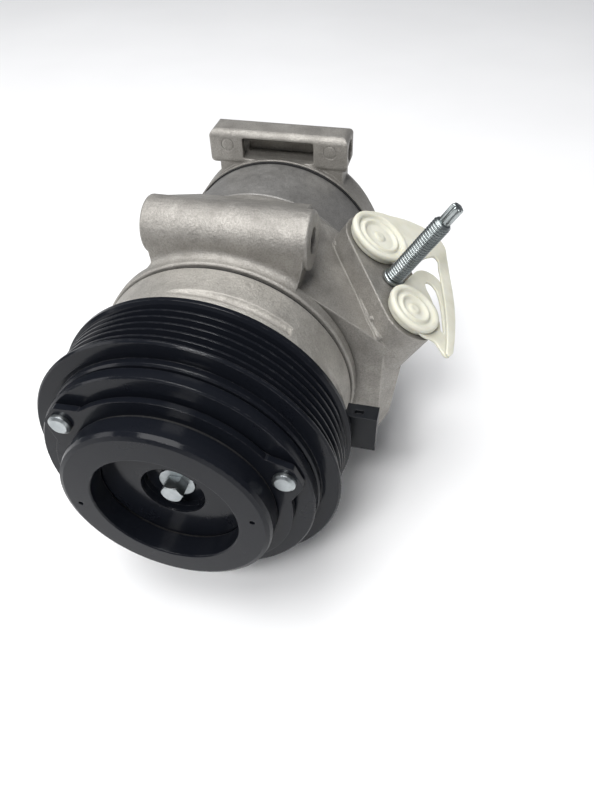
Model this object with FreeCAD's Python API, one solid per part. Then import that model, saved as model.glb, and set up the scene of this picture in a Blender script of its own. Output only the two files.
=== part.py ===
import FreeCAD, Part
import math
import os
from FreeCAD import Vector

os.makedirs("parts", exist_ok=True)

# Belt-driven air-conditioning compressor: a double-headed piston machine behind a magnetic clutch.
# Millimetres. The shaft runs along Y with the belt pulley at the front, -Y. +Z is up, towards the
# upper mounting lugs. The origin is on the shaft axis, in the middle plane of the belt grooves.

# ---- belt pulley and its bearing ----
GROOVE_PITCH = 3.56
GROOVES = 6
CREST_R = 60.5
GROOVE_DEPTH = 2.9
FRONT_RIM_R = 62.2
REAR_RIM_R = 61.7
FRONT_RIM_Y = -12.6
REAR_RIM_Y = 13.8
RIM_INNER_R = 53.3
SLEEVE_R = 31.6
FRICTION_FACE_Y = -15.6
FRICTION_R = 54.8
BEARING_R = 27.5
BEARING_BORE_R = 17.5
BEARING_Y = (-8.0, 12.0)
BALL_R = 3.2
BALL_PITCH_R = 22.5
BALLS_PER_ROW = 14

# ---- clutch front: armature, hub and damper ring ----
ARMATURE_Y = (-22.1, -16.1)
ARMATURE_R = 54.5
ARMATURE_HOLE_R = 30.0
HUB_PLATE_Y = (-26.0, -23.4)
HUB_PLATE_R = 47.0
RIVET_R = 48.2
RIVET_START = 22.6
DAMPER_FRONT_Y = -36.5
DAMPER_BACK_Y = -27.2
DAMPER_R = 41.4
DAMPER_HOLE_R = 28.8
WELL_R = 12.9
WASHER_FRONT_Y = -22.0

# ---- housing stack ----
HEAD_FRONT_Y = 16.5
FRONT_SEAM_Y = 40.0
GASKET_GAP = 1.2
MIDDLE_SEAM_Y = 104.5
REAR_SEAM_Y = 140.0
REAR_END_Y = 163.0
HEAD_R = 56.3
LIP_R = 57.5
BLOCK_R = 54.6
REAR_BLOCK_R = 53.0
REAR_HEAD_R = 52.6
PLATE_R = 50.6

# ---- pumping parts ----
CYLINDERS = 5
CYLINDER_R = 14.0
PITCH_R = 34.5
PISTON_START = 83.0
BOLT_START = 47.0
BOLT_R = 3.2
BOLT_PITCH_R = 46.6
DOWEL_R = 1.2
DOWEL_PITCH_R = 50.2
DOWEL_ANGLES = (PISTON_START, PISTON_START + 144)
SHAFT_R = 9.0
SWASH_Y = 90.5
SWASH_ANGLE = 15.5
SWASH_R = 43.0
SWASH_HALF_THICKNESS = 3.5
SHOE_R = 10.0
CHAMBER_Y = (72.5, 108.5)
CHAMBER_R = 48.7
SLIDE_GAP = 0.05

# ---- mounting lugs, ports and stud ----
LUG_BORE_R = 5.25
FRONT_LUG_Y = 58.0
FRONT_LUG_Z = 62.0
FRONT_LUG_R = 11.8
FRONT_LUG_X = (-31.8, 36.4)
LUG_FILLET = 3.4
REAR_LUG_Y = 150.0
REAR_LUG_Z = 56.4
REAR_LUG_X = (-35.6, 34.1)
REAR_LUG_TOP = 64.8
REAR_LUG_WINDOW = ((-18.8, 17.4), (141.0, 155.4), (51.1, 61.8))
PORT_SHELF = 55.0
RIDGE = ((11.8, 90.0), (25.6, 72.9), (33.3, 62.0), (36.8, 56.5), (42.5, 50.5))
PORT_TILT = 58.0
PORT_FACE = 65.0
SUCTION = (25.6, 94.0)
DISCHARGE = (49.2, 62.0)
STUD_AT = (37.6, 76.3)
SUCTION_CAP_R = 14.2
DISCHARGE_CAP_R = 12.2
SUCTION_R = 9.5
DISCHARGE_R = 8.0
STUD_R = 4.0
STUD_COLLAR = 2.2
STUD_NECK = 5.6
STUD_THREAD = 35.0
STUD_LENGTH = 43.8

AXIS_Y = Vector(0, 1, 0)
ORIGIN = Vector(0, 0, 0)
PORT_NORMAL = Vector(math.cos(math.radians(PORT_TILT)), 0, math.sin(math.radians(PORT_TILT)))
PORT_ACROSS = Vector(PORT_NORMAL.z, 0, -PORT_NORMAL.x)


# ---------------------------------------------------------------- helpers
def polar(radius, degrees, y=0.0):
    """Point at a radius and an angle round the shaft, counted from +X towards +Z."""
    turn = math.radians(degrees)
    return Vector(radius * math.cos(turn), y, radius * math.sin(turn))


def around(count, start):
    """Evenly spaced angles round the shaft."""
    return [start + 360.0 * k / count for k in range(count)]


def rod(radius, y_low, y_high, centre=ORIGIN):
    """Solid cylinder parallel to the shaft."""
    return Part.makeCylinder(radius, y_high - y_low, Vector(centre.x, y_low, centre.z), AXIS_Y)


def tube(outer, inner, y_low, y_high, centre=ORIGIN):
    """Hollow cylinder parallel to the shaft."""
    return rod(outer, y_low, y_high, centre).cut(rod(inner, y_low, y_high, centre))


def lathe(profile, sweep=360.0, start=0.0):
    """Solid turned about the shaft from (radius, y) points, over part of a turn if asked."""
    points = [Vector(radius, y, 0) for radius, y in profile]
    face = Part.Face(Part.makePolygon(points + points[:1]))
    solid = face.revolve(ORIGIN, AXIS_Y, -sweep)
    solid.rotate(ORIGIN, AXIS_Y, -start)
    return solid


def box(x, y, z):
    """Box from three (low, high) pairs."""
    return Part.makeBox(x[1] - x[0], y[1] - y[0], z[1] - z[0], Vector(x[0], y[0], z[0]))


def prism(points, direction):
    """Straight extrusion of a closed outline of vectors."""
    return Part.Face(Part.makePolygon(points + points[:1])).extrude(direction)


def join(first, *others):
    """One solid from overlapping ones."""
    return first.multiFuse(list(others)).removeSplitter()


def group(solids):
    """Separate solids kept in one node."""
    return Part.makeCompound(solids)


def soften(solid, radius, wanted):
    """Fillet the edges whose centre and direction pass the test."""
    edges = [edge for edge in solid.Edges if wanted(edge)]
    return solid.makeFillet(radius, edges)


def hexagon(across_flats, y_low, y_high, centre=ORIGIN):
    """Hexagonal prism parallel to the shaft."""
    radius = across_flats / math.sqrt(3)
    points = [Vector(centre.x, y_low, centre.z) + polar(radius, angle) for angle in around(6, 0)]
    return prism(points, Vector(0, y_high - y_low, 0))


def port_point(place, depth):
    """Point above the port pad: place is (across, along the shaft), depth is from the shaft."""
    across, y = place
    return PORT_ACROSS * across + PORT_NORMAL * depth + Vector(0, y, 0)


def port_rod(place, radius, low, high):
    """Cylinder square to the port pad."""
    return Part.makeCylinder(radius, high - low, port_point(place, low), PORT_NORMAL)


def port_hull(first, first_r, second, second_r, low, high):
    """Prism round two circles and their outer tangents, square to the port pad."""
    across, along = second[0] - first[0], second[1] - first[1]
    distance = math.hypot(across, along)
    heading = math.atan2(along, across)
    lean = math.acos((first_r - second_r) / distance)
    corners = []
    for place, radius, side in ((first, first_r, 1), (second, second_r, 1),
                                (second, second_r, -1), (first, first_r, -1)):
        turn = heading + side * lean
        corners.append(port_point((place[0] + radius * math.cos(turn),
                                   place[1] + radius * math.sin(turn)), low))
    return join(prism(corners, PORT_NORMAL * (high - low)),
                port_rod(first, first_r, low, high), port_rod(second, second_r, low, high))


def save(name, shape):
    """Write one node."""
    shape.exportStep("parts/%s.step" % name)


# ---------------------------------------------------------------- belt pulley
def pulley():
    """Six-groove rim, friction face and bearing sleeve in one turned piece."""
    half = GROOVE_PITCH * GROOVES / 2
    crest_half = 0.35
    root_half = 0.45
    rim = [(SLEEVE_R, REAR_RIM_Y - 1.0), (SLEEVE_R, FRICTION_FACE_Y + 4.4),
           (RIM_INNER_R, FRICTION_FACE_Y + 4.4), (RIM_INNER_R, REAR_RIM_Y),
           (REAR_RIM_R - 0.8, REAR_RIM_Y), (REAR_RIM_R, REAR_RIM_Y - 0.8), (REAR_RIM_R, half + 0.5)]
    for k in range(GROOVES):
        top = half - k * GROOVE_PITCH
        middle = top - GROOVE_PITCH / 2
        rim += [(CREST_R, top - crest_half), (CREST_R - GROOVE_DEPTH, middle + root_half),
                (CREST_R - GROOVE_DEPTH, middle - root_half), (CREST_R, top - GROOVE_PITCH + crest_half)]
    rim += [(FRONT_RIM_R, -half - 0.5), (FRONT_RIM_R, FRONT_RIM_Y + 0.7),
            (FRONT_RIM_R - 0.7, FRONT_RIM_Y), (FRICTION_R + 1.6, FRONT_RIM_Y),
            (FRICTION_R, FRONT_RIM_Y + 0.2), (FRICTION_R, FRICTION_FACE_Y + 0.7),
            (FRICTION_R - 0.7, FRICTION_FACE_Y), (BEARING_R + 1.2, FRICTION_FACE_Y),
            (BEARING_R + 1.2, BEARING_Y[0]), (BEARING_R, BEARING_Y[0]), (BEARING_R, REAR_RIM_Y - 1.0)]
    body = lathe(rim)
    slots = [lathe([(low, FRICTION_FACE_Y - 1), (high, FRICTION_FACE_Y - 1),
                    (high, FRICTION_FACE_Y + 6), (low, FRICTION_FACE_Y + 6)], 44.0, start)
             for low, high, first in ((36.0, 38.4, 0), (45.0, 47.4, 30)) for start in around(6, first)]
    return body.cut(group(slots))


def bearing():
    """Double-row bearing: races, balls and two shields."""
    low, high = BEARING_Y
    row_low, row_high = low + 5.0, high - 5.0
    groove = join(*[Part.makeTorus(BALL_PITCH_R, BALL_R + SLIDE_GAP, Vector(0, y, 0), AXIS_Y)
                    for y in (row_low, row_high)])
    inner = tube(BALL_PITCH_R - 1.3, BEARING_BORE_R, low, high).cut(groove)
    outer = tube(BEARING_R, BALL_PITCH_R + 1.3, low, high).cut(groove)
    balls = [Part.makeSphere(BALL_R, polar(BALL_PITCH_R, angle, y))
             for y in (row_low, row_high) for angle in around(BALLS_PER_ROW, 0)]
    shields = [tube(BALL_PITCH_R + 1.3, BALL_PITCH_R - 1.0, y, y + 0.8) for y in (low + 0.2, high - 1.0)]
    save("bearing_inner_race", inner)
    save("bearing_outer_race", outer)
    save("bearing_balls", group(balls))
    save("bearing_shields", group(shields))


# ---------------------------------------------------------------- clutch coil
def coil():
    """Steel shell, copper winding, potting, connector and the ring that holds the coil on."""
    shell_outer, shell_inner = RIM_INNER_R - 1.0, SLEEVE_R + 0.9
    shell = lathe([(shell_inner, -10.4), (shell_inner + 1.8, -10.4), (shell_inner + 1.8, 9.6),
                   (shell_outer - 1.8, 9.6), (shell_outer - 1.8, -10.4), (shell_outer, -10.4),
                   (shell_outer, 15.8), (22.2, 15.8), (22.2, 13.8), (shell_inner, 13.8)])
    winding = tube(47.6, 37.0, -7.0, 8.4)
    potting = tube(shell_outer - 1.8, shell_inner + 1.8, -9.4, 9.6).cut(winding)
    save("coil_shell", shell)
    save("coil_winding", winding)
    save("coil_potting", potting)
    save("coil_circlip", lathe([(21.0, 12.6), (24.4, 12.6), (24.4, 13.8), (21.0, 13.8)], 340.0, 100.0))
    body = join(box((57.5, 70.5), (19.5, 27.0), (-11.5, 7.0)),
                box((50.0, 60.0), (15.8, 20.5), (-8.0, 3.0)))
    body = body.cut(rod(HEAD_R + 0.3, 16.0, 40.0))
    body = join(body, box((44.0, 55.0), (15.8, 16.4), (-8.0, 3.0)))
    socket = box((59.5, 68.5), (21.0, 25.6), (-13.0, 1.0))
    latch_slot = box((61.0, 64.6), (21.4, 23.6), (5.2, 8.0))
    save("coil_connector", body.cut(group([socket, latch_slot])))
    save("coil_terminals", group([box((x - 0.4, x + 0.4), (22.2, 24.4), (-4.0, 1.0)) for x in (62.0, 66.0)]))


# ---------------------------------------------------------------- clutch front
def ear_outline(angle, y):
    """Trapezoid that carries one rivet at the rim of the hub plate."""
    corners = ((40.0, -13.5), (46.3, -11.0), (53.6, -4.9), (53.6, 4.9), (46.3, 11.0), (40.0, 13.5))
    out, side = polar(1, angle), polar(1, angle + 90)
    return [out * radius + side * offset + Vector(0, y, 0) for radius, offset in corners]


def hub_plate():
    """Front plate with three rivet ears, and pockets behind for the armature rivets."""
    low, high = HUB_PLATE_Y
    ears = [soften(prism(ear_outline(angle, low), Vector(0, high - low, 0)), 2.0,
                   lambda edge: abs(edge.BoundBox.YLength - (high - low)) < 0.01
                   and math.hypot(edge.CenterOfMass.x, edge.CenterOfMass.z) > 50)
            for angle in around(3, RIVET_START)]
    plate = join(rod(HUB_PLATE_R, low, high), *ears)
    holes = [rod(2.6, low - 1, high + 1, polar(RIVET_R, angle)) for angle in around(3, RIVET_START)]
    pockets = [rod(4.4, high - 1.6, high + 1, polar(42.0, angle)) for angle in around(3, RIVET_START + 50)]
    return plate.cut(group(holes + pockets + [rod(WELL_R, low - 1, high + 1)]))


def damper_ring():
    """Heavy outer ring with a flat face and two tapped holes for the puller."""
    ring = lathe([(DAMPER_HOLE_R, DAMPER_BACK_Y), (DAMPER_HOLE_R, DAMPER_FRONT_Y + 0.5),
                  (DAMPER_HOLE_R + 0.5, DAMPER_FRONT_Y), (DAMPER_R - 2.2, DAMPER_FRONT_Y),
                  (DAMPER_R - 0.6, DAMPER_FRONT_Y + 0.7), (DAMPER_R, DAMPER_FRONT_Y + 2.4),
                  (DAMPER_R, DAMPER_BACK_Y)])
    holes = [rod(1.1, DAMPER_FRONT_Y - 1, DAMPER_FRONT_Y + 4.5, polar(35.0, angle)) for angle in (7.5, 187.5)]
    return ring.cut(group(holes))


def clutch_front():
    """Everything that turns with the shaft in front of the pulley, and the armature."""
    plate_low, plate_high = HUB_PLATE_Y
    save("hub_plate", hub_plate())
    floor = tube(DAMPER_HOLE_R - 0.2, WELL_R, plate_low - 0.6, plate_low)
    boss = join(tube(12.3, 8.0, -20.9, -4.0), tube(WELL_R + 2.6, 3.4, -20.9, -19.4),
                tube(WELL_R + 2.6, WELL_R, plate_high, -19.4))
    save("clutch_hub", boss)
    save("hub_floor_ring", floor)
    save("damper_rubber", tube(DAMPER_R - 0.6, DAMPER_HOLE_R + 1.0, DAMPER_BACK_Y, plate_low))
    save("damper_ring", damper_ring())
    rivets = []
    for angle in around(3, RIVET_START):
        centre = polar(RIVET_R, angle)
        head = lathe([(0, plate_low - 2.3), (3.2, plate_low - 2.3), (4.3, plate_low - 1.5),
                      (4.3, plate_low), (0, plate_low)])
        head.translate(centre)
        rivets.append(join(head, rod(2.6, plate_low, plate_high + 0.6, centre)))
    save("hub_rivets", group(rivets))
    springs, pins = [], []
    for angle in around(3, RIVET_START):
        end, far = polar(RIVET_R, angle), polar(42.0, angle + 50)
        along = (far - end).normalize()
        side = Vector(along.z, 0, -along.x) * 4.0
        strip = [end - side, end + side, far + side, far - side]
        strip = [point + Vector(0, plate_high, 0) for point in strip]
        leaf = join(prism(strip, Vector(0, 0.6, 0)), rod(4.0, plate_high, plate_high + 0.6, end),
                    rod(4.0, plate_high, plate_high + 0.6, far))
        springs.append(leaf.cut(group([rod(2.6, plate_high - 1, plate_high + 1, end),
                                       rod(2.4, plate_high - 1, plate_high + 1, far)])))
        pins.append(join(rod(2.0, plate_high - 1.0, ARMATURE_Y[1] - 1.0, far),
                         rod(3.6, plate_high - 1.2, plate_high - 0.6, far)))
    save("leaf_springs", group(springs))
    save("armature_rivets", group(pins))
    edge = 1.1
    low, high = ARMATURE_Y
    armature = lathe([(ARMATURE_HOLE_R, low), (ARMATURE_HOLE_R, high), (ARMATURE_R - edge, high),
                      (ARMATURE_R, high - edge), (ARMATURE_R, low + 0.6), (ARMATURE_R - 0.6, low)])
    slots = [lathe([(40.2, low - 1), (42.0, low - 1), (42.0, high + 1), (40.2, high + 1)], 50.0, start)
             for start in around(3, RIVET_START + 62)]
    holes = [rod(2.0, low - 1, ARMATURE_Y[1] - 1.0, polar(42.0, angle)) for angle in around(3, RIVET_START + 50)]
    relief = [rod(4.6, low - 1, low + 0.9, polar(RIVET_R, angle)) for angle in around(3, RIVET_START)]
    save("armature_plate", armature.cut(group(slots + holes + relief)))
    bolt = join(hexagon(8.0, -28.3, WASHER_FRONT_Y - 0.2), rod(3.0, WASHER_FRONT_Y - 0.2, -4.0))
    save("hub_bolt", bolt.common(lathe([(0, -28.3), (4.0, -28.3), (4.8, -27.7), (4.8, 0), (0, 0)])))
    save("hub_washer", tube(7.2, 3.0, WASHER_FRONT_Y - 0.2, -20.9))
    save("hub_shims", group([tube(11.0, 8.0, y, y + 0.4) for y in (-4.0, -3.6)]))


# ---------------------------------------------------------------- housings
def cylinder_bores(low, high):
    return [rod(CYLINDER_R, low, high, polar(PITCH_R, angle)) for angle in around(CYLINDERS, PISTON_START)]


def bolt_holes(low, high, radius=3.5):
    return [rod(radius, low, high, polar(BOLT_PITCH_R, angle)) for angle in around(CYLINDERS, BOLT_START)]


def front_head():
    """Front cover: nose for the bearing and seal, two gas chambers and five bolt pockets."""
    seam = FRONT_SEAM_Y
    outside = lathe([(0, -11.4), (16.7, -11.4), (BEARING_BORE_R, -10.6), (BEARING_BORE_R, 12.0), (21.0, 12.0),
                     (21.0, 13.8), (22.2, 13.8), (22.2, HEAD_FRONT_Y), (54.0, HEAD_FRONT_Y),
                     (55.6, HEAD_FRONT_Y + 1.2), (HEAD_R, 21.0), (HEAD_R, seam - 0.5), (HEAD_R - 0.5, seam),
                     (0, seam)])
    grooves = []
    for angle in around(CYLINDERS, BOLT_START):
        hollow = Part.makeTorus(68.8, 2.4, polar(12.0, angle + 201, 23.6), AXIS_Y)
        sector = lathe([(45.0, 17.0), (62.0, 17.0), (62.0, 30.0), (45.0, 30.0)], 62.0, angle + 4.0)
        boss = rod(8.2, 17.0, 30.0, polar(BOLT_PITCH_R, angle))
        grooves.append(hollow.common(sector).cut(boss))
    inside = join(rod(13.3, -13.0, 24.0), rod(9.6, 23.0, seam + 1))
    chambers = [tube(30.0, 17.5, 26.0, seam + 1), tube(41.2, 34.0, 26.0, seam + 1),
                rod(PLATE_R + 0.2, 38.2, seam + 1)]
    pockets = [rod(6.4, 14.0, 25.0, polar(BOLT_PITCH_R, angle)) for angle in around(CYLINDERS, BOLT_START)]
    clip = tube(14.3, 12.0, 14.2, 15.4)
    nose_groove = tube(19.0, 16.9, -9.4, -8.0)
    solid = outside
    for tool in [inside, clip, nose_groove] + grooves + chambers + pockets + bolt_holes(20, seam + 1):
        solid = solid.cut(tool)
    return solid


def lug_tube(z, pad_depth):
    """Tubular lug along X with its pedestal and the web behind it; z may be below the shaft."""
    side = 1 if z > 0 else -1
    left, right = FRONT_LUG_X
    lug = Part.makeCylinder(FRONT_LUG_R, right - left, Vector(left, FRONT_LUG_Y, z), Vector(1, 0, 0))
    lug = soften(lug, 1.2, lambda edge: isinstance(edge.Curve, Part.Circle))
    outline = [(46.2, 30), (46.2, 62.0), (52.0, 68.0), (58.0, 72.8), (62.5, 72.3),
               (pad_depth, 50.9), (pad_depth, 30)]
    web = prism([Vector(-40.0, y, side * height) for y, height in outline], Vector(80.0, 0, 0))
    plan = [(-31.0, 40), (35.5, 40), (32.5, 62), (24.8, pad_depth + 1), (-28.0, pad_depth + 1)]
    web = web.common(prism([Vector(x, y, -80) for x, y in plan], Vector(0, 0, 160)))
    taper = [(-31.0, 74.0), (35.5, 74.0), (35.0, 58.0), (32.0, 46.0), (32.0, 20.0), (-28.6, 20.0), (-28.6, 48.0)]
    taper = prism([Vector(x, 30.0, side * height) for x, height in taper], Vector(0, 90.0, 0))
    inner, ring_y = LIP_R, 46.2 - LUG_FILLET
    ring = lathe([(inner - 2, ring_y), (inner + LUG_FILLET, ring_y), (inner + LUG_FILLET, 48.0), (inner - 2, 48.0)])
    ring = ring.cut(Part.makeTorus(inner + LUG_FILLET, LUG_FILLET, Vector(0, ring_y, 0), AXIS_Y))
    web = web.common(taper)
    return [lug, web, ring.common(taper)]


def lug_bore(y, z):
    return Part.makeCylinder(LUG_BORE_R, 100, Vector(-50, y, z), Vector(1, 0, 0))


def port_block():
    """Pad under the two ports, the lower shelf round it with its ribs, and the bulge at the right side."""
    pad = port_hull(SUCTION, SUCTION_CAP_R + 1.0, DISCHARGE, DISCHARGE_CAP_R + 1.2, 38.0, PORT_FACE)
    shelf = prism([Vector(x, 48.5, z) for x, z in
                   ((18.0, 50.8), (36.0, 42.3), (60.0, 27.4), (73.0, 18.0), (76.0, 9.0), (72.4, -22.0),
                    (67.0, -31.0), (58.0, -34.0), (20.0, -38.0), (10.0, 40.0))], Vector(0, 52.0, 0))
    edge_cut = prism([Vector(64.0, 44.0, -60), Vector(84.0, 44.0, -60), Vector(84.0, 66.0, -60)],
                     Vector(0, 0, 76.0))
    rear_cut = prism([Vector(56.0, 106.0, -60), Vector(84.0, 106.0, -60), Vector(84.0, 80.0, -60)],
                     Vector(0, 0, 90.0))
    shelf = shelf.cut(group([edge_cut, rear_cut]))
    ridge = [port_hull(start, 1.5, end, 1.49, 44.0, PORT_SHELF + 1.2) for start, end in zip(RIDGE, RIDGE[1:])]
    cross_rib = port_hull(RIDGE[3], 1.3, (42.0, 70.0), 1.29, 44.0, PORT_SHELF + 2.6)
    return [pad, shelf, cross_rib] + ridge


def front_block():
    """Middle casting: front cylinders, swash chamber, front lugs and the ports."""
    low, high = FRONT_SEAM_Y + GASKET_GAP, MIDDLE_SEAM_Y
    shell = lathe([(0, low), (LIP_R - 0.6, low), (LIP_R, low + 0.6), (LIP_R, low + 5.0),
                   (LIP_R - 1.8, low + 6.6), (BLOCK_R, low + 9.0), (REAR_BLOCK_R + 0.4, high - 0.6),
                   (REAR_BLOCK_R - 0.2, high), (0, high)])
    pads = lug_tube(FRONT_LUG_Z, high) + lug_tube(-FRONT_LUG_Z, 82.0)
    foot = soften(box((-18.0, 18.0), (82.0, 98.0), (-58.0, -40.0)), 3.0,
                  lambda edge: edge.BoundBox.ZLength > 17)
    outside = join(shell, foot, *(pads + port_block())).cut(rod(REAR_BLOCK_R + 0.4, high, high + 10.0))
    seat = rod(PLATE_R + 0.2, low - 1, low + 0.4)
    shaft_hole = rod(SHAFT_R + 0.6, low - 1, high)
    cup_seat = rod(13.5, 50.0, 68.0)
    thrust_seat = rod(15.2, 68.0, high)
    ports = [port_rod(SUCTION, SUCTION_R, 44.0, PORT_FACE + 1),
             port_rod(DISCHARGE, DISCHARGE_R, 46.0, PORT_FACE + 1),
             port_rod(STUD_AT, STUD_R, 53.0, PORT_FACE + 1)]
    muffler = box((56.0, 68.0), (62.0, 88.0), (-22.0, 8.0))
    plug_hole = Part.makeCylinder(5.0, 8.0, Vector(0, 90.0, -59.0), Vector(0, 0, 1))
    dowels = [rod(DOWEL_R, high - 6.0, high + 1, polar(DOWEL_PITCH_R, angle)) for angle in DOWEL_ANGLES]
    cut = ([seat, shaft_hole, cup_seat, thrust_seat, muffler, plug_hole,
            rod(CHAMBER_R, CHAMBER_Y[0], high + 1), lug_bore(FRONT_LUG_Y, FRONT_LUG_Z),
            lug_bore(FRONT_LUG_Y, -FRONT_LUG_Z)] + ports + dowels
           + cylinder_bores(low - 1, CHAMBER_Y[0] + 1) + bolt_holes(low - 1, high + 1))
    solid = outside
    for tool in cut:
        solid = solid.cut(tool)
    return solid


def rear_block():
    """Rear cylinder block."""
    low, high = MIDDLE_SEAM_Y + 0.3, REAR_SEAM_Y - 0.8
    outside = lathe([(0, low), (REAR_BLOCK_R - 0.6, low), (REAR_BLOCK_R, low + 0.6), (REAR_BLOCK_R, low + 20),
                     (REAR_BLOCK_R - 1.6, low + 22), (REAR_BLOCK_R - 1.8, high), (0, high)])
    rib = [box((-6.0, 6.0), (low, high - 6.0), (-54.0, -46.0))]
    outside = join(outside, *rib)
    dowels = [rod(DOWEL_R, low - 1, low + 6.0, polar(DOWEL_PITCH_R, angle)) for angle in DOWEL_ANGLES]
    cut = ([rod(CHAMBER_R, low - 1, CHAMBER_Y[1]), rod(SHAFT_R + 0.6, low - 1, high - 4.0),
            rod(13.5, 113.0, 131.0), rod(15.2, low - 1, 113.0)] + dowels
           + cylinder_bores(low - 1, high + 1) + bolt_holes(low - 1, high + 1))
    solid = outside
    for tool in cut:
        solid = solid.cut(tool)
    return solid


def rear_lug(z):
    """Rear lug: a bar along X on two webs, open in the middle where the front face is cored out."""
    side = 1 if z > 0 else -1
    bar = box(REAR_LUG_X, (142.0, 158.0), sorted((side * 47.5, side * REAR_LUG_TOP)))
    long_edges = soften(bar, 3.4, lambda edge: edge.BoundBox.XLength > 60)
    end_edges = soften(bar, 3.2, lambda edge: edge.BoundBox.YLength > 15)
    web = box((-31.5, 32.0), (143.0, 157.0), sorted((side * 30.0, side * 50.0)))
    return [long_edges.common(end_edges), web]


def rear_head():
    """Rear cover with its gas chambers, the rear lugs and the threaded ends for the long bolts."""
    low, high = REAR_SEAM_Y + 0.4, REAR_END_Y
    outside = lathe([(0, low), (REAR_HEAD_R, low), (REAR_HEAD_R, high - 9.0), (REAR_HEAD_R - 2.4, high - 3.0),
                     (REAR_HEAD_R - 8.0, high), (0, high)])
    outside = join(outside, *(rear_lug(1) + rear_lug(-1)))
    across, along, height = REAR_LUG_WINDOW
    windows = [box(across, along, sorted(side * z for z in height)) for side in (1, -1)]
    windows = [soften(window, 1.2, lambda edge: edge.BoundBox.YLength > 12) for window in windows]
    marks = [tube(3.3, 2.8, 141.7, 142.2, Vector(x, 0, side * 58.0)) for x in (-26.5, 25.5) for side in (1, -1)]
    seat = rod(PLATE_R + 0.2, low - 1, low + 2.4)
    chambers = [rod(27.0, low - 1, high - 6.0), tube(41.0, 32.0, low - 1, high - 8.0)]
    valve = Part.makeCylinder(5.5, 40, Vector(-34.0, 152.0, 0), Vector(-1, 0, 0))
    spot = Part.makeCylinder(9.0, 6, Vector(-49.5, 152.0, 0), Vector(-1, 0, 0))
    cut = ([seat, valve, spot, lug_bore(REAR_LUG_Y, REAR_LUG_Z), lug_bore(REAR_LUG_Y, -REAR_LUG_Z)]
           + windows + marks + chambers + bolt_holes(low - 1, high - 8.0, BOLT_R))
    solid = outside
    for tool in cut:
        solid = solid.cut(tool)
    return solid


def gaskets():
    """Rim gasket at the front seam, thin seal at the middle seam and the O-ring at the rear seam."""
    seam = FRONT_SEAM_Y
    save("front_gasket", tube(HEAD_R - 0.8, PLATE_R + 0.4, seam, seam + GASKET_GAP))
    middle = tube(REAR_BLOCK_R - 0.7, CHAMBER_R + 0.5, MIDDLE_SEAM_Y, MIDDLE_SEAM_Y + 0.3)
    holes = [rod(DOWEL_R, 100, 110, polar(DOWEL_PITCH_R, angle)) for angle in DOWEL_ANGLES]
    for tool in bolt_holes(100, 110) + holes:
        middle = middle.cut(tool)
    save("middle_gasket", middle)
    save("rear_o_ring", tube(REAR_HEAD_R - 0.7, PLATE_R + 0.2, REAR_SEAM_Y - 0.8, REAR_SEAM_Y + 0.4))


def valve_gear():
    """Valve plates with port holes, and the spring-steel reed discs beside them."""
    front_low, rear_low = FRONT_SEAM_Y - 1.8, REAR_SEAM_Y - 0.4
    for name, plate_y, reed_y in (("front", front_low, front_low + 3.0), ("rear", rear_low, rear_low - 0.4)):
        holes = [rod(1.9, 0, 200, polar(radius, angle + offset))
                 for angle in around(CYLINDERS, PISTON_START)
                 for radius, offset in ((37.5, 0), (37.5, 8), (25.5, 0), (25.5, -11))]
        centre = [rod(9.6, 0, 200)] + bolt_holes(0, 200)
        plate = rod(PLATE_R, plate_y, plate_y + 2.8)
        reeds = rod(PLATE_R, reed_y, reed_y + 0.4)
        for tool in holes + centre:
            plate = plate.cut(tool)
        slits = [tube(7.4, 6.6, 0, 200, polar(31.0, angle)).cut(box((-80, 80), (0, 200), (-80, 80)).common(
                 rod(8.0, 0, 200, polar(23.5, angle)))) for angle in around(CYLINDERS, PISTON_START)]
        for tool in slits + centre:
            reeds = reeds.cut(tool)
        save(name + "_valve_plate", plate)
        save(name + "_reed_disc", reeds)


def fasteners():
    """Long bolts through the housings, dowels, drain plug and relief valve."""
    head_y = 25.0
    bolts, washers = [], []
    for angle in around(CYLINDERS, BOLT_START):
        centre = polar(BOLT_PITCH_R, angle)
        bolt = join(hexagon(9.0, head_y - 7.0, head_y - 1.2, centre), rod(5.8, head_y - 2.4, head_y - 1.2, centre),
                    rod(BOLT_R, head_y - 1.2, REAR_END_Y - 10.0, centre))
        bolts.append(bolt.cut(rod(2.4, head_y - 8.0, head_y - 4.5, centre)))
        washers.append(tube(5.8, BOLT_R, head_y - 1.2, head_y, centre))
    save("through_bolts", group(bolts))
    save("bolt_washers", group(washers))
    save("dowel_pins", group([rod(DOWEL_R, MIDDLE_SEAM_Y - 6.0, MIDDLE_SEAM_Y + 6.3, polar(DOWEL_PITCH_R, angle))
                              for angle in DOWEL_ANGLES]))
    plug = join(Part.makeCylinder(5.0, 7.0, Vector(0, 90.0, -58.6), Vector(0, 0, 1)),
                Part.makeCylinder(8.0, 3.4, Vector(0, 90.0, -61.4), Vector(0, 0, 1)))
    save("oil_plug", plug.cut(prism([Vector(3.0 * math.cos(k * math.pi / 3), 90.0 + 3.0 * math.sin(k * math.pi / 3),
                                            -62.0) for k in range(6)], Vector(0, 0, 3.5))))
    valve = join(Part.makeCylinder(5.5, 10.5, Vector(-39.0, 152.0, 0), Vector(-1, 0, 0)),
                 prism([Vector(-49.5, 152.0 + 8.0 * math.cos(k * math.pi / 3), 8.0 * math.sin(k * math.pi / 3))
                        for k in range(6)], Vector(-5.0, 0, 0)),
                 Part.makeCylinder(4.6, 4.5, Vector(-54.5, 152.0, 0), Vector(-1, 0, 0)))
    save("relief_valve", valve.cut(Part.makeCylinder(1.4, 8, Vector(-54.0, 152.0, 0), Vector(-1, 0, 0))))


# ---------------------------------------------------------------- pumping parts
def swash_offset(angle):
    """Distance along the shaft from the swash centre to the plate at a cylinder."""
    return PITCH_R * math.tan(math.radians(SWASH_ANGLE)) * -math.sin(math.radians(angle))


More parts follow.
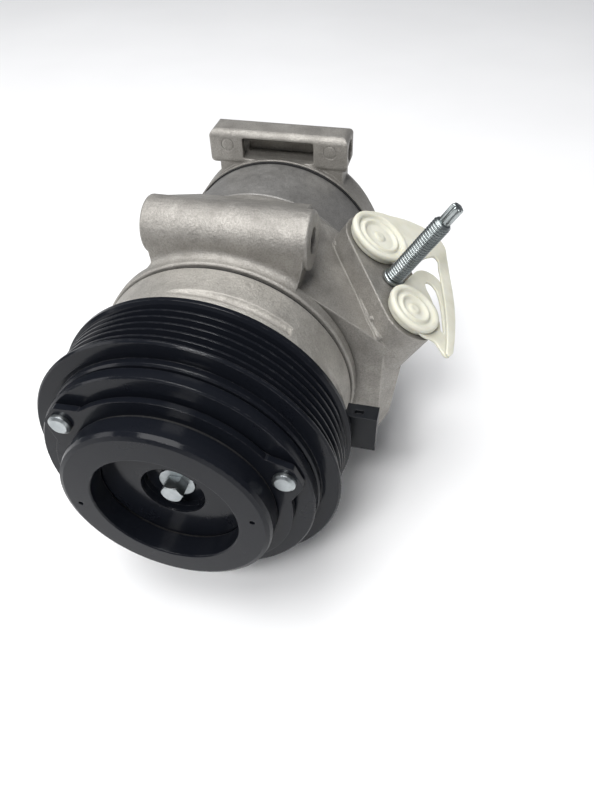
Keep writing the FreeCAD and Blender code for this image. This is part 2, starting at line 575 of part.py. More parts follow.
def pumping_parts():
    """Shaft, swash plate, five double-headed pistons and their shoes."""
    shaft = lathe([(0, -19.4), (8.0, -19.4), (8.0, -3.2), (SHAFT_R, -3.2), (SHAFT_R, 134.0), (0, 134.0)])
    save("drive_shaft", shaft.cut(rod(3.0, -22.0, -4.0)))
    plate = Part.makeCylinder(SWASH_R, 2 * SWASH_HALF_THICKNESS, Vector(0, -SWASH_HALF_THICKNESS, 0), AXIS_Y)
    plate.rotate(ORIGIN, Vector(1, 0, 0), SWASH_ANGLE)
    plate = join(plate, rod(15.0, -17.6, 17.6))
    plate.translate(Vector(0, SWASH_Y, 0))
    save("swash_plate", plate.cut(rod(SHAFT_R + SLIDE_GAP, 60, 130)))
    half = (REAR_SEAM_Y - 0.8 - FRONT_SEAM_Y - GASKET_GAP - 0.4) / 2
    stroke = PITCH_R * math.tan(math.radians(SWASH_ANGLE))
    length = half - stroke - 0.5
    shoes = []
    for number, angle in enumerate(around(CYLINDERS, PISTON_START), 1):
        centre = polar(PITCH_R, angle)
        middle = SWASH_Y + swash_offset(angle)
        piston = rod(CYLINDER_R - SLIDE_GAP, middle - length, middle + length, centre)
        slot = rod(44.2, middle - 8.4, middle + 8.4)
        ball = Part.makeSphere(SHOE_R + SLIDE_GAP, Vector(centre.x, middle, centre.z))
        rings = [tube(CYLINDER_R + 1, CYLINDER_R - 0.8, y, y + 1.6, centre)
                 for y in (middle - length + 3.0, middle + length - 4.6)]
        piston = piston.cut(group([slot])).cut(ball)
        for ring in rings:
            piston = piston.cut(ring)
        save("piston_%d" % number, piston)
        ball = Part.makeSphere(SHOE_R, Vector(centre.x, middle, centre.z))
        slab = box((-80, 80), (-SWASH_HALF_THICKNESS - SLIDE_GAP, SWASH_HALF_THICKNESS + SLIDE_GAP), (-80, 80))
        slab.rotate(ORIGIN, Vector(1, 0, 0), SWASH_ANGLE)
        slab.translate(Vector(0, SWASH_Y, 0))
        shoes.extend(ball.cut(slab).Solids)
    save("piston_shoes", group(shoes))


def shaft_bearings():
    """Needle and thrust bearings, the lip seal and its circlip."""
    needle_r = 1.5
    needle_pitch = SHAFT_R + SLIDE_GAP + needle_r
    cup_inner = needle_pitch + needle_r + SLIDE_GAP
    for name, low in (("front", 50.0), ("rear", 113.0)):
        save(name + "_needle_cup", tube(13.5, cup_inner, low, low + 18.0))
        save(name + "_needles", group([rod(needle_r, low + 2.0, low + 16.0, polar(needle_pitch, angle))
                                       for angle in around(18, 0)]))
    save("thrust_bearings", group([tube(15.0, SHAFT_R + 0.6, y, y + 4.4)
                                   for y in (68.3, SWASH_Y + 17.8)]))
    seal = lathe([(SHAFT_R + 3.0, 16.0), (13.3, 16.0), (13.3, 24.0), (SHAFT_R + 0.06, 24.0),
                  (SHAFT_R + 0.06, 22.6), (SHAFT_R + 3.0, 22.0)])
    save("shaft_seal", seal)
    save("seal_circlip", lathe([(11.4, 14.3), (14.2, 14.3), (14.2, 15.3), (11.4, 15.3)], 330.0, 105.0))
    save("pulley_circlip", lathe([(17.0, -9.3), (19.8, -9.3), (19.8, -8.1), (17.0, -8.1)], 335.0, 100.0))


# ---------------------------------------------------------------- ports
def port_fittings():
    """Port stud and the two tied transport caps."""
    face = PORT_FACE
    save("port_stud", join(port_rod(STUD_AT, STUD_R - SLIDE_GAP, 53.0, face + 1.0),
                           port_rod(STUD_AT, 5.0, face + 0.2, face + STUD_COLLAR),
                           port_rod(STUD_AT, STUD_R - 0.3, face + STUD_COLLAR, face + STUD_NECK),
                           port_rod(STUD_AT, STUD_R, face + STUD_NECK, face + STUD_THREAD),
                           port_rod(STUD_AT, 2.6, face + STUD_THREAD, face + STUD_LENGTH)))
    for name, place, skirt, rim in (("suction_cap", SUCTION, SUCTION_R, SUCTION_CAP_R),
                                    ("discharge_cap", DISCHARGE, DISCHARGE_R, DISCHARGE_CAP_R)):
        top = soften(port_rod(place, rim, face + 0.3, face + 5.2), 1.6,
                     lambda edge: isinstance(edge.Curve, Part.Circle)
                     and edge.CenterOfMass.dot(PORT_NORMAL) > face + 3)
        plug = port_rod(place, skirt - 0.3, face - 7.0, face + 1.0)
        cap = join(top, plug).cut(port_rod(place, skirt - 1.9, face - 8.0, face + 3.4))
        save(name, cap)
    route = [(28.0, 105.0), (34.0, 116.0), (42.0, 121.0), (52.0, 122.0), (58.5, 115.0), (62.5, 100.0),
             (66.5, 82.0), (68.8, 65.0), (69.4, 53.0), (62.0, 56.0), (56.0, 58.0)]
    low, high = face + 1.0, face + 3.4
    links = []
    for start, end in zip(route, route[1:]):
        links.append(port_hull(start, 1.7, end, 1.6, low, high))
    caps = [port_rod(SUCTION, SUCTION_CAP_R, low - 1, high + 1),
            port_rod(DISCHARGE, DISCHARGE_CAP_R, low - 1, high + 1)]
    save("cap_strap", join(*links).cut(group(caps)))


save("pulley", pulley())
bearing()
coil()
clutch_front()
save("front_head", front_head())
save("front_block", front_block())
save("rear_block", rear_block())
save("rear_head", rear_head())
gaskets()
valve_gear()
fasteners()
pumping_parts()
shaft_bearings()
port_fittings()
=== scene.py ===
import math

import bmesh
import bpy
from mathutils import Euler, Matrix, Vector


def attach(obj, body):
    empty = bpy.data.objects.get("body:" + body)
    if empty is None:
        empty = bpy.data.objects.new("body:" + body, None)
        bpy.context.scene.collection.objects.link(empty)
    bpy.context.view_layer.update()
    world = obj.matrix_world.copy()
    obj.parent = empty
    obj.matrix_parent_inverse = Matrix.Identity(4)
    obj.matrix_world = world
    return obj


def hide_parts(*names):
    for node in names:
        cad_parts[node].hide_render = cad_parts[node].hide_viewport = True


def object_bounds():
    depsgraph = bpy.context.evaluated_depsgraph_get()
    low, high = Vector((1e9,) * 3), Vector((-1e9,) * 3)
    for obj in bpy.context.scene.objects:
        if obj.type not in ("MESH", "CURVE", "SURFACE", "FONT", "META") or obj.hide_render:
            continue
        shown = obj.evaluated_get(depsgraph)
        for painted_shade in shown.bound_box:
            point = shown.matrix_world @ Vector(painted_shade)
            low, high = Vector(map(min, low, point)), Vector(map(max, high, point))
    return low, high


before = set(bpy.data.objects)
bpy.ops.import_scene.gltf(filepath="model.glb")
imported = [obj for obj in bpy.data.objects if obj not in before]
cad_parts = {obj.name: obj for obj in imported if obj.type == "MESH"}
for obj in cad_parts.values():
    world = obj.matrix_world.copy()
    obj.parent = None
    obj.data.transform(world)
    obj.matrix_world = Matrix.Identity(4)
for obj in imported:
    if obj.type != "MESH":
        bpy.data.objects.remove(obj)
cad_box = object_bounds()

# Looks for the belt-driven air-conditioning compressor. Metres, in the CAD frame: the shaft runs
# along Y with the pulley at -Y, +Z is up, and the ports lean towards +X.

MM = 0.001

# ---- camera and light ----
CAMERA_AT = (0.08733, -0.16211, 0.20330)
CAMERA_TURN = (44.8356, 1.5788, 13.6786)
CAMERA_LENS = 30.192
WORLD_COLOUR = (0.13, 0.135, 0.15)
LIGHT_AIM = (0.0, 0.05, 0.0)
FLOOR_HALF = 12.0

# ---- places that the CAD model fixes: the tilt in degrees, the rest in millimetres ----
PORT_TILT = 58.0
PORT_FACE = 65.0
SUCTION = (25.6, 94.0)
DISCHARGE = (49.2, 62.0)
SUCTION_R = 9.5
DISCHARGE_R = 8.0
SUCTION_CAP_R = 14.2
DISCHARGE_CAP_R = 12.2
STUD_AT = (37.6, 76.3)
STUD_R = 4.0
STUD_COLLAR = 2.2
STUD_THREAD = 35.0
STUD_LENGTH = 43.8
THREAD_PITCH = 1.25
THREAD_DEPTH = 0.68

# ---- details that only this script draws, in millimetres ----
RINGS_PER_TURN = 12
COLLAR_R = 5.0
SHANK_R = 3.95
DRIVE_R = 2.42
DRIVE_LOBE = 0.32
CAP_SIDES = 96
PLUG_SIDES = 72
SHEET_THICKNESS = 1.2
SHEET_EDGE = 0.35
TONGUE_HEIGHT = 2.9
FLAP_HEIGHT = 1.6

PORT_NORMAL = Vector((math.cos(math.radians(PORT_TILT)), 0, math.sin(math.radians(PORT_TILT))))
PORT_ACROSS = Vector((PORT_NORMAL.z, 0, -PORT_NORMAL.x))
PORT_ALONG = Vector((0, 1, 0))


# ---------------------------------------------------------------- shader helpers
class Shader:
    """One procedural material: a Principled BSDF and short calls that add nodes to it."""

    def __init__(self, name, **sockets):
        self.material = bpy.data.materials.new(name)
        self.material.use_nodes = True
        self.tree = self.material.node_tree
        self.bsdf = next(node for node in self.tree.nodes if node.type == "BSDF_PRINCIPLED")
        self.place = self.add("ShaderNodeTexCoord").outputs["Object"]
        for socket, value in sockets.items():
            self.bsdf.inputs[socket.replace("_", " ")].default_value = value

    def add(self, kind, **inputs):
        """New node, with values or sockets fed to its named inputs."""
        node = self.tree.nodes.new(kind)
        for socket, value in inputs.items():
            self.feed(node.inputs[socket.replace("_", " ")], value)
        return node

    def feed(self, socket, value):
        """Link a socket or set a constant."""
        if isinstance(value, bpy.types.NodeSocket):
            self.tree.links.new(value, socket)
        else:
            socket.default_value = value

    def noise(self, scale, detail=3.0, roughness=0.55, vector=None):
        node = self.add("ShaderNodeTexNoise", Vector=vector or self.place, Scale=scale, Detail=detail,
                        Roughness=roughness)
        return node.outputs["Fac"]

    def stretch(self, x, y, z):
        """Coordinates scaled along each axis, so that noise draws out into rings or scratches."""
        node = self.add("ShaderNodeVectorMath", Vector=self.place)
        node.operation = "MULTIPLY"
        node.inputs[1].default_value = (x, y, z)
        return node.outputs["Vector"]

    def ramp(self, fac, *stops):
        node = self.add("ShaderNodeValToRGB", Fac=fac)
        elements = node.color_ramp.elements
        while len(elements) < len(stops):
            elements.new(0.5)
        for element, (position, colour) in zip(elements, stops):
            element.position = position
            element.color = (*colour, 1.0)
        return node.outputs["Color"]

    def range(self, value, low, high, to_low, to_high):
        """Value mapped from one span to another and clamped."""
        node = self.add("ShaderNodeMapRange", Value=value)
        for socket, number in zip(("From Min", "From Max", "To Min", "To Max"),
                                  (low, high, to_low, to_high)):
            node.inputs[socket].default_value = number
        return node.outputs["Result"]

    def math(self, operation, first, second=0.0):
        node = self.add("ShaderNodeMath")
        node.operation = operation
        self.feed(node.inputs[0], first)
        self.feed(node.inputs[1], second)
        return node.outputs["Value"]

    def mix(self, fac, first, second):
        node = self.add("ShaderNodeMix")
        node.data_type = "RGBA"
        self.feed(node.inputs["Factor"], fac)
        for socket, value in ((node.inputs[6], first), (node.inputs[7], second)):
            self.feed(socket, value if isinstance(value, bpy.types.NodeSocket) else (*value, 1.0))
        return node.outputs[2]

    def bump(self, height, strength, distance, normal=None):
        node = self.add("ShaderNodeBump", Height=height, Strength=strength, Distance=distance)
        if normal is not None:
            self.feed(node.inputs["Normal"], normal)
        return node.outputs["Normal"]

    def rounded(self, radius):
        """Normal that rounds every sharp edge by a small radius."""
        node = self.add("ShaderNodeBevel", Radius=radius)
        node.samples = 4
        return node.outputs["Normal"]

    def edge(self, rounded):
        """0 on open faces, up to 1 along edges."""
        true_normal = self.add("ShaderNodeNewGeometry").outputs["Normal"]
        node = self.add("ShaderNodeVectorMath")
        node.operation = "DOT_PRODUCT"
        self.feed(node.inputs[0], rounded)
        self.feed(node.inputs[1], true_normal)
        return self.range(node.outputs["Value"], 1.0, 0.90, 0.0, 1.0)

    def occlusion_shade(self, distance):
        """Ambient occlusion: 1 in the open, down to 0 in corners and grooves; used to paint shade into
        the colour.
        """
        node = self.add("ShaderNodeAmbientOcclusion", Distance=distance)
        node.samples = 4
        return node.outputs["AO"]

    def set(self, socket, value):
        """Feed an input of the Principled BSDF."""
        self.feed(self.bsdf.inputs[socket], value)
        return self


# ---------------------------------------------------------------- materials
def cast_aluminium(name, light, dark, grain=1.0):
    """Satin sand-cast aluminium: grain, mottling, brighter worn edges, and painted shade darkening the
    corners.
    """
    shader = Shader(name, Metallic=0.62)
    rounded = shader.rounded(1.1 * MM)
    edge = shader.edge(rounded)
    mottle = shader.noise(95, 4, 0.6)
    speck = shader.noise(1500, 3, 0.7)
    colour = shader.ramp(mottle, (0.30, dark), (0.70, light))
    pits = shader.range(speck, 0.42, 0.66, 0.0, 0.42)
    colour = shader.mix(pits, colour, tuple(0.55 * c for c in dark))
    bright = tuple(min(1.0, 1.25 * c) for c in light)
    colour = shader.mix(shader.math("MULTIPLY", edge, 0.55), colour, bright)
    # Painted shade: ambient occlusion darkens the colour in corners and grooves.
    painted_shade = shader.range(shader.occlusion_shade(5 * MM), 0.25, 0.85, 0.55, 0.0)
    shader.set("Base Color", shader.mix(painted_shade, colour, tuple(0.38 * c for c in dark)))
    shader.set("Roughness", shader.range(shader.noise(320, 3), 0.3, 0.7, 0.42, 0.60))
    coarse = shader.bump(shader.noise(340, 3, 0.65), 0.45 * grain, 0.6 * MM, rounded)
    fine = shader.bump(shader.noise(1150, 4, 0.8), 0.85 * grain, 0.26 * MM, coarse)
    return shader.set("Normal", fine).material


def machined_aluminium(name, light, dark):
    """Turned aluminium: fine rings round the shaft over a bright satin face, with painted shade
    darkening the corners.
    """
    shader = Shader(name, Metallic=0.85)
    rounded = shader.rounded(0.5 * MM)
    rings = shader.noise(900, 3, 0.6, shader.stretch(0.02, 1.0, 0.02))
    cloud = shader.noise(70, 3, 0.6)
    colour = shader.mix(shader.range(rings, 0.3, 0.7, 0.0, 0.5), light, dark)
    colour = shader.mix(shader.range(cloud, 0.35, 0.7, 0.0, 0.35), colour, dark)
    # Painted shade: ambient occlusion darkens the colour in corners and grooves.
    painted_shade = shader.range(shader.occlusion_shade(4 * MM), 0.25, 0.85, 0.5, 0.0)
    shader.set("Base Color", shader.mix(painted_shade, colour, tuple(0.4 * c for c in dark)))
    shader.set("Roughness", shader.range(rings, 0.3, 0.7, 0.32, 0.50))
    return shader.set("Normal", shader.bump(rings, 0.25, 0.05 * MM, rounded)).material


def black_paint(name, base, roughness, texture):
    """Gloss black paint on steel: orange peel, tiny nibs and a trace of dust."""
    shader = Shader(name, Specular_IOR_Level=0.03, Coat_Weight=0.32, Coat_Roughness=0.05)
    rounded = shader.rounded(0.45 * MM)
    edge = shader.edge(rounded)
    dust = shader.range(shader.noise(1900, 2, 0.8), 0.66, 0.78, 0.0, 0.16)
    colour = shader.mix(dust, base, (0.10, 0.10, 0.10))
    worn = shader.math("MULTIPLY", edge, shader.range(shader.noise(420, 3), 0.45, 0.65, 0.02, 0.35))
    shader.set("Base Color", shader.mix(worn, colour, (0.09, 0.09, 0.095)))
    smear = shader.range(shader.noise(60, 3, 0.6), 0.3, 0.7, roughness - 0.05, roughness + 0.09)
    shader.set("Roughness", smear)
    peel = shader.bump(shader.noise(520, 2, 0.5), 0.16 * texture, 0.10 * MM, rounded)
    nibs = shader.bump(shader.noise(2300, 2, 0.7), 0.45 * texture, 0.035 * MM, peel)
    shader.set("Normal", nibs)
    return shader.set("Coat Normal", nibs).material


def plated_steel(name, light, dark, roughness, grain, edge_radius=0.3 * MM):
    """Plated or bare steel with cloudy plating, fine scratches and painted shade darkening the corners.
    """
    shader = Shader(name, Metallic=1.0)
    rounded = shader.rounded(edge_radius) if edge_radius else None
    cloud = shader.noise(240, 4, 0.65)
    colour = shader.ramp(cloud, (0.32, dark), (0.68, light))
    # Painted shade: ambient occlusion darkens the colour in corners and thread grooves.
    painted_shade = shader.range(shader.occlusion_shade(1.6 * MM), 0.2, 0.8, 0.6, 0.0)
    shader.set("Base Color", shader.mix(painted_shade, colour, tuple(0.3 * c for c in dark)))
    scratch = shader.noise(1500, 4, 0.7, shader.stretch(1.0, 0.15, 1.0))
    shader.set("Roughness", shader.range(scratch, 0.3, 0.7, roughness - 0.06, roughness + 0.10))
    return shader.set("Normal", shader.bump(scratch, 0.3 * grain, 0.04 * MM, rounded)).material


def moulded_plastic(name, light, dark, roughness, subsurface, radius):
    """Moulded plastic: faint flow clouds, fine texture, soft edges and painted shade darkening the
    corners.
    """
    shader = Shader(name, Specular_IOR_Level=0.22, Subsurface_Weight=subsurface, Subsurface_Scale=radius,
                    Subsurface_Radius=(1.0, 0.85, 0.55))
    rounded = shader.rounded(0.5 * MM)
    cloud = shader.noise(130, 4, 0.6)
    colour = shader.ramp(cloud, (0.30, dark), (0.70, light))
    # Painted shade: ambient occlusion darkens the colour in corners and grooves.
    painted_shade = shader.range(shader.occlusion_shade(3 * MM), 0.25, 0.9, 0.45, 0.0)
    shader.set("Base Color", shader.mix(painted_shade, colour, tuple(0.62 * c for c in dark)))
    texture = shader.noise(420, 3)
    shader.set("Roughness", shader.range(texture, 0.3, 0.7, roughness - 0.06, roughness + 0.08))
    fine = shader.bump(shader.noise(900, 3, 0.6), 0.25, 0.06 * MM, rounded)
    return shader.set("Normal", fine).material


def rubber(name):
    """Matt black rubber with a dusty bloom."""
    shader = Shader(name, Specular_IOR_Level=0.35)
    bloom = shader.range(shader.noise(340, 4, 0.7), 0.4, 0.7, 0.0, 0.5)
    shader.set("Base Color", shader.mix(bloom, (0.012, 0.012, 0.013), (0.035, 0.034, 0.032)))
    shader.set("Roughness", shader.range(shader.noise(900, 3), 0.3, 0.7, 0.62, 0.85))
    return shader.set("Normal", shader.bump(shader.noise(1400, 3), 0.4, 0.06 * MM)).material


def wound_copper(name):
    """Enamelled winding: fine turns round the shaft."""
    shader = Shader(name, Metallic=0.9)
    turns = shader.noise(2400, 1, 0.4, shader.stretch(0.01, 1.0, 0.01))
    shader.set("Base Color", shader.mix(shader.range(turns, 0.35, 0.65, 0.0, 1.0),
                                        (0.60, 0.24, 0.09), (0.25, 0.08, 0.03)))
    shader.set("Roughness", shader.range(turns, 0.3, 0.7, 0.28, 0.45))
    return shader.set("Normal", shader.bump(turns, 0.6, 0.15 * MM)).material


def pale_floor():
    """Plain pale floor with a barely visible tooth."""
    shader = Shader("pale_floor", Roughness=0.75, Specular_IOR_Level=0.2)
    shade = shader.noise(7, 3, 0.5)
    shader.set("Base Color", shader.ramp(shade, (0.3, (0.89, 0.89, 0.89)), (0.7, (0.92, 0.92, 0.92))))
    return shader.set("Normal", shader.bump(shader.noise(300, 2), 0.05, 0.2 * MM)).material


FINISHES = {
    "cast_aluminium": cast_aluminium("cast_body", (0.40, 0.382, 0.352), (0.27, 0.257, 0.235)),
    "machined_aluminium": machined_aluminium("turned_aluminium", (0.56, 0.55, 0.53),
                                             (0.40, 0.39, 0.375)),
    "black_paint": black_paint("gloss_black", (0.0065, 0.0075, 0.0105), 0.30, 1.0),
    "bare_steel": plated_steel("ground_steel", (0.55, 0.55, 0.56), (0.38, 0.38, 0.39), 0.28, 0.6),
    "zinc_steel": plated_steel("zinc_plate", (0.42, 0.445, 0.45), (0.30, 0.325, 0.335), 0.36, 0.7),
    "spring_steel": plated_steel("spring_steel", (0.40, 0.41, 0.44), (0.26, 0.27, 0.30), 0.34, 0.8),
    "ivory_plastic": moulded_plastic("ivory_cap", (0.70, 0.69, 0.60), (0.62, 0.61, 0.51),
                                     0.45, 0.35, 2 * MM),
    "black_plastic": moulded_plastic("black_nylon", (0.009, 0.010, 0.012), (0.005, 0.006, 0.008),
                                     0.36, 0.0, MM),
    "black_rubber": rubber("black_rubber"),
    "copper": wound_copper("copper_winding"),
    "epoxy": moulded_plastic("coil_epoxy", (0.05, 0.035, 0.02), (0.03, 0.02, 0.012), 0.35, 0.0, MM),
    "brass": plated_steel("brass_terminal", (0.78, 0.60, 0.28), (0.58, 0.42, 0.18), 0.25, 0.6),
}
THREAD_STEEL = plated_steel("zinc_thread", (0.42, 0.45, 0.45), (0.30, 0.33, 0.33), 0.32, 0.1, 0.0)
PALE_CASTING = cast_aluminium("cast_front", (0.50, 0.478, 0.438), (0.36, 0.343, 0.312), 1.2)
DARK_CASTING = cast_aluminium("cast_rear_block", (0.30, 0.292, 0.28), (0.21, 0.205, 0.195), 0.5)
SPECIAL = {"front_head": PALE_CASTING, "rear_block": DARK_CASTING}


def dress_cad_nodes():
    """Give every CAD node the finish of its material slot."""
    for name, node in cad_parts.items():
        for slot in node.material_slots:
            base = slot.material.name.split(".")[0]
            slot.material = SPECIAL.get(name, FINISHES[base])


# ---------------------------------------------------------------- detailed port pieces
def port_frame(place=(0.0, 0.0)):
    """Matrix from the port frame (across, along the shaft, outwards from the pad) in mm to metres."""
    turn = Matrix((PORT_ACROSS, PORT_ALONG, PORT_NORMAL)).transposed().to_4x4()
    origin = PORT_ACROSS * place[0] + PORT_ALONG * place[1] + PORT_NORMAL * PORT_FACE
    return Matrix.Diagonal((MM, MM, MM, 1.0)) @ Matrix.Translation(origin) @ turn


def add_ring(bm, height, radius, sides):
    """Vertices round the local Z axis; the radius is a number or a function of the angle."""
    ring = []
    for k in range(sides):
        turn = 2 * math.pi * k / sides
        reach = radius(turn) if callable(radius) else radius
        ring.append(bm.verts.new((reach * math.cos(turn), reach * math.sin(turn), height)))
    return ring


def join_rings(bm, lower, upper):
    """Band of quads between each pair of rings."""
    for low, high in zip(lower, upper):
        sides = len(low)
        for k in range(sides):
            after = (k + 1) % sides
            bm.faces.new((low[k], low[after], high[after], high[k]))


def ring_stack(bm, profile, sides):
    """Closed skin over a profile of heights and radii, capped at both ends."""
    rings = [add_ring(bm, height, radius, sides) for height, radius in profile]
    join_rings(bm, rings, rings[1:])
    bm.faces.new(list(reversed(rings[0])))
    bm.faces.new(rings[-1])


def ring_loop(bm, profile, sides):
    """Hollow skin over a closed profile of heights and radii."""
    rings = [add_ring(bm, height, radius, sides) for height, radius in profile]
    join_rings(bm, rings, rings[1:] + rings[:1])


def finish_piece(bm, name, matrix, finish, body, nodes, sharp=32.0):
    """Object from a bmesh, placed, shaded, dressed and tied to its CAD body and node."""
    bmesh.ops.recalc_face_normals(bm, faces=bm.faces)
    mesh = bpy.data.meshes.new(name)
    bm.to_mesh(mesh)
    bm.free()
    mesh.transform(matrix)
    mesh.shade_smooth()
    mesh.set_sharp_from_angle(angle=math.radians(sharp))
    piece = bpy.data.objects.new(name, mesh)
    bpy.context.scene.collection.objects.link(piece)
    mesh.materials.append(finish)
    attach(piece, body)
    if nodes:
        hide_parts(*nodes)


def thread_radius(height):
    """Radius of a V thread at a height, as a function of the angle."""
    end_loss = max(0.0, 0.9 - (STUD_THREAD - height))

    def radius(turn):
        phase = (height / THREAD_PITCH - turn / (2 * math.pi)) % 1.0
        valley = min(1.0, max(0.0, (abs(2 * phase - 1) - 0.12) / 0.76))
        return min(STUD_R - THREAD_DEPTH * valley, STUD_R - end_loss)

    return radius


def lobed(mean, lobe):
    """Six-lobed drive outline."""
    return lambda turn: mean + lobe * math.cos(6 * turn)


def port_stud():
    """M8 stud: rolled collar, rolled thread and an external six-lobed drive end."""
    bm = bmesh.new()
    ring_stack(bm, [(-12.0, 3.4), (-11.4, SHANK_R), (1.0, SHANK_R)], 48)
    ring_stack(bm, [(0.2, 4.4), (0.5, 4.85), (0.9, COLLAR_R), (STUD_COLLAR - 0.7, COLLAR_R),
                    (STUD_COLLAR - 0.3, 4.8), (STUD_COLLAR, 4.3)], 48)
    steps = int((STUD_THREAD - STUD_COLLAR) / THREAD_PITCH * RINGS_PER_TURN)
    start = STUD_COLLAR - 0.2
    length = STUD_THREAD - STUD_COLLAR + 0.2
    heights = [start + length * k / steps for k in range(steps + 1)]
    ring_stack(bm, [(height, thread_radius(height)) for height in heights], 60)
    tip = [(STUD_THREAD - 0.5, 2.3, 0.0), (STUD_THREAD + 0.3, 2.3, 0.15),
           (STUD_THREAD + 0.8, DRIVE_R, DRIVE_LOBE), (STUD_LENGTH - 1.0, DRIVE_R, DRIVE_LOBE),
           (STUD_LENGTH - 0.4, 2.25, 0.26), (STUD_LENGTH, 1.7, 0.10)]
    ring_stack(bm, [(height, lobed(mean, lobe)) for height, mean, lobe in tip], 72)
    finish_piece(bm, "stud_threaded", port_frame(STUD_AT), THREAD_STEEL, "housing", ["port_stud"],
                 50.0)


def transport_cap(name, place, rim, skirt):
    """Press-in cap: beaded rim, moat, raised ring round a plain hub, stepped side, hollow plug."""
    bm = bmesh.new()
    top = [(0.3, rim - 1.3), (0.5, rim - 1.05), (2.3, rim - 1.0), (2.6, rim - 0.3), (3.0, rim),
           (4.2, rim), (4.8, rim - 0.25), (5.15, rim - 0.8), (5.2, rim - 1.5), (5.05, rim - 2.3),
           (4.6, rim - 2.8),
           (3.9, rim - 3.1), (3.7, rim - 3.8), (3.8, rim - 4.5), (4.5, rim - 4.9), (4.75, rim - 5.5),
           (4.5, rim - 6.1), (3.8, rim - 6.6), (3.5, rim - 7.4), (3.45, 3.2), (3.7, 2.7), (4.1, 2.2),
           (4.2, 1.2), (4.0, 0.5)]
    ring_stack(bm, top, CAP_SIDES)
    plug = [(-6.4, skirt - 0.9), (-6.9, skirt - 0.6), (-6.4, skirt - 0.3), (-5.6, skirt),
            (-4.8, skirt - 0.35), (1.2, skirt - 0.35), (1.4, skirt - 1.8), (-6.0, skirt - 1.7)]
    ring_loop(bm, plug, PLUG_SIDES)
    finish_piece(bm, name + "_moulded", port_frame(place), FINISHES["ivory_plastic"], "port_caps",
                 [name], 60.0)


def flat_outline(name, outlines, height):
    """Thin moulded sheet from smooth closed outlines in the port frame; inner outlines are holes."""
    data = bpy.data.curves.new(name, "CURVE")
    data.dimensions = "2D"
    data.fill_mode = "BOTH"
    data.resolution_u = 8
    data.extrude = SHEET_THICKNESS / 2 - SHEET_EDGE
    data.bevel_depth = SHEET_EDGE
    data.bevel_resolution = 3
    for outline in outlines:
        spline = data.splines.new("BEZIER")
        spline.bezier_points.add(len(outline) - 1)
        for point, (across, along) in zip(spline.bezier_points, outline):
            point.co = (across, along, 0.0)
            point.handle_left_type = "AUTO"
            point.handle_right_type = "AUTO"
        spline.use_cyclic_u = True
    drawn = bpy.data.objects.new(name + "_outline", data)
    bpy.context.scene.collection.objects.link(drawn)
    bpy.context.view_layer.update()
    mesh = bpy.data.meshes.new_from_object(drawn.evaluated_get(bpy.context.evaluated_depsgraph_get()))
    bpy.data.objects.remove(drawn)
    bm = bmesh.new()
    bm.from_mesh(mesh)
    bpy.data.meshes.remove(mesh)
    bmesh.ops.remove_doubles(bm, verts=bm.verts, dist=0.01)
    bmesh.ops.translate(bm, verts=bm.verts, vec=(0.0, 0.0, height))
    return bm


# Outlines of the two tongues that tie the caps together, (across, along the shaft) in millimetres.
TONGUE = [(18, 107), (22, 111), (28, 114.5), (35, 119), (42, 122), (48, 123.5), (54, 123),
          (58.5, 120), (61, 112), (63.7, 101), (66.8, 89), (69.1, 77), (70.3, 65), (70.6, 55),
          (70.2, 50), (68.8, 48.5), (68, 52), (67.8, 56), (66.6, 65), (64.6, 77), (61.6, 89),
          (58.4, 100), (55.5, 107), (51.7, 104), (48, 98), (43, 90), (34, 84), (24, 92)]
FLAP = [(40, 66), (43, 76), (46, 85), (49.5, 92), (55, 94.6), (60.4, 93), (63.6, 87.5), (66.2, 79),
        (68.4, 67), (69.6, 56), (70.2, 50), (68.6, 48.6), (66, 50.5), (62.5, 53), (56, 52), (48, 56)]
WINDOW = [(53, 86), (55.5, 88), (58.4, 87), (61, 83), (63.4, 76), (65, 69), (66, 61), (65.2, 60.5),
          (63, 66), (60, 72.5), (56.4, 78.5), (53.6, 82.5)]


def cap_tongues():
    """Thin tongues of the two caps, crossing at the tail."""
    bm = flat_outline("tongue", [TONGUE], TONGUE_HEIGHT)
    finish_piece(bm, "suction_tongue", port_frame(), FINISHES["ivory_plastic"], "port_caps",
                 ["cap_strap"])
    bm = flat_outline("flap", [FLAP, WINDOW], FLAP_HEIGHT)
    finish_piece(bm, "discharge_tongue", port_frame(), FINISHES["ivory_plastic"], "port_caps", [])


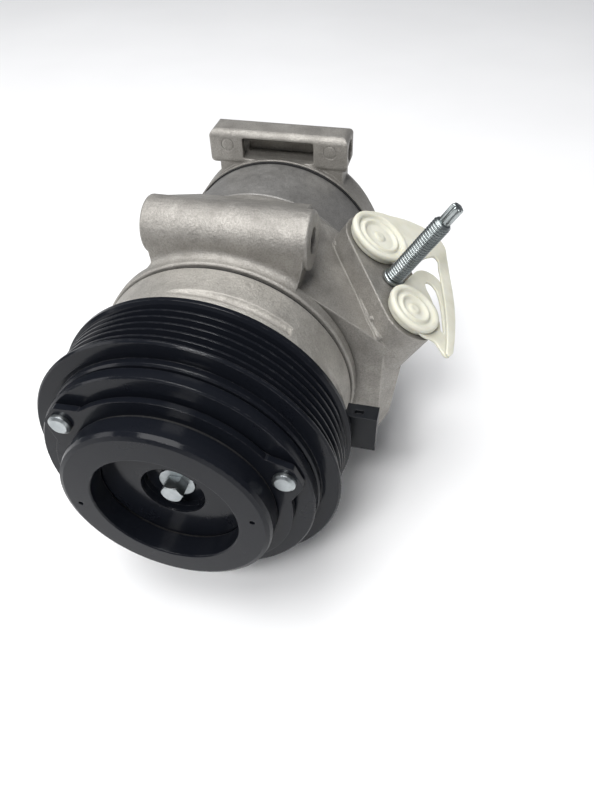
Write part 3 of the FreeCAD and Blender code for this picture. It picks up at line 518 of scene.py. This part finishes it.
# ---------------------------------------------------------------- floor, light and camera
def add_floor():
    """Square floor at the lowest point of the compressor."""
    low = cad_box[0].z
    mesh = bpy.data.meshes.new("floor")
    corners = [(x * FLOOR_HALF, y * FLOOR_HALF, low) for x, y in ((-1, -1), (1, -1), (1, 1), (-1, 1))]
    mesh.from_pydata(corners, [], [(0, 1, 2, 3)])
    floor = bpy.data.objects.new("floor", mesh)
    bpy.context.scene.collection.objects.link(floor)
    mesh.materials.append(pale_floor())


def add_light(name, place, size, power):
    """Rectangular white light, in metres and watts, aimed at the middle of the compressor."""
    data = bpy.data.lights.new(name, "AREA")
    data.shape = "RECTANGLE"
    data.size, data.size_y = size
    data.energy = power
    light = bpy.data.objects.new(name, data)
    light.location = place
    light.rotation_euler = (Vector(LIGHT_AIM) - Vector(place)).to_track_quat("-Z", "Y").to_euler()
    bpy.context.scene.collection.objects.link(light)


def add_lights():
    """Soft studio: a wide overhead light, a small one by the camera, one at the left, a dim sky."""
    add_light("overhead", (-0.20, 0.00, 1.45), (1.3, 1.0), 22.0)
    add_light("near_camera", (-0.05, -0.70, 0.95), (0.35, 0.22), 9.0)
    add_light("left_side", (-1.25, -0.25, 0.55), (0.9, 0.7), 5.5)
    world = bpy.data.worlds.new("studio")
    world.use_nodes = True
    world.node_tree.nodes["Background"].inputs["Color"].default_value = (*WORLD_COLOUR, 1.0)
    bpy.context.scene.world = world


def add_camera():
    """Camera at the reference view."""
    data = bpy.data.cameras.new("camera")
    data.sensor_width = 36.0
    data.lens = CAMERA_LENS
    data.clip_start = 0.01
    camera = bpy.data.objects.new("camera", data)
    camera.location = CAMERA_AT
    camera.rotation_euler = Euler([math.radians(turn) for turn in CAMERA_TURN])
    bpy.context.scene.collection.objects.link(camera)
    bpy.context.scene.camera = camera


dress_cad_nodes()
port_stud()
transport_cap("suction_cap", SUCTION, SUCTION_CAP_R, SUCTION_R)
transport_cap("discharge_cap", DISCHARGE, DISCHARGE_CAP_R, DISCHARGE_R)
cap_tongues()
add_floor()
add_lights()
add_camera()
bpy.context.scene.view_settings.view_transform = "Standard"
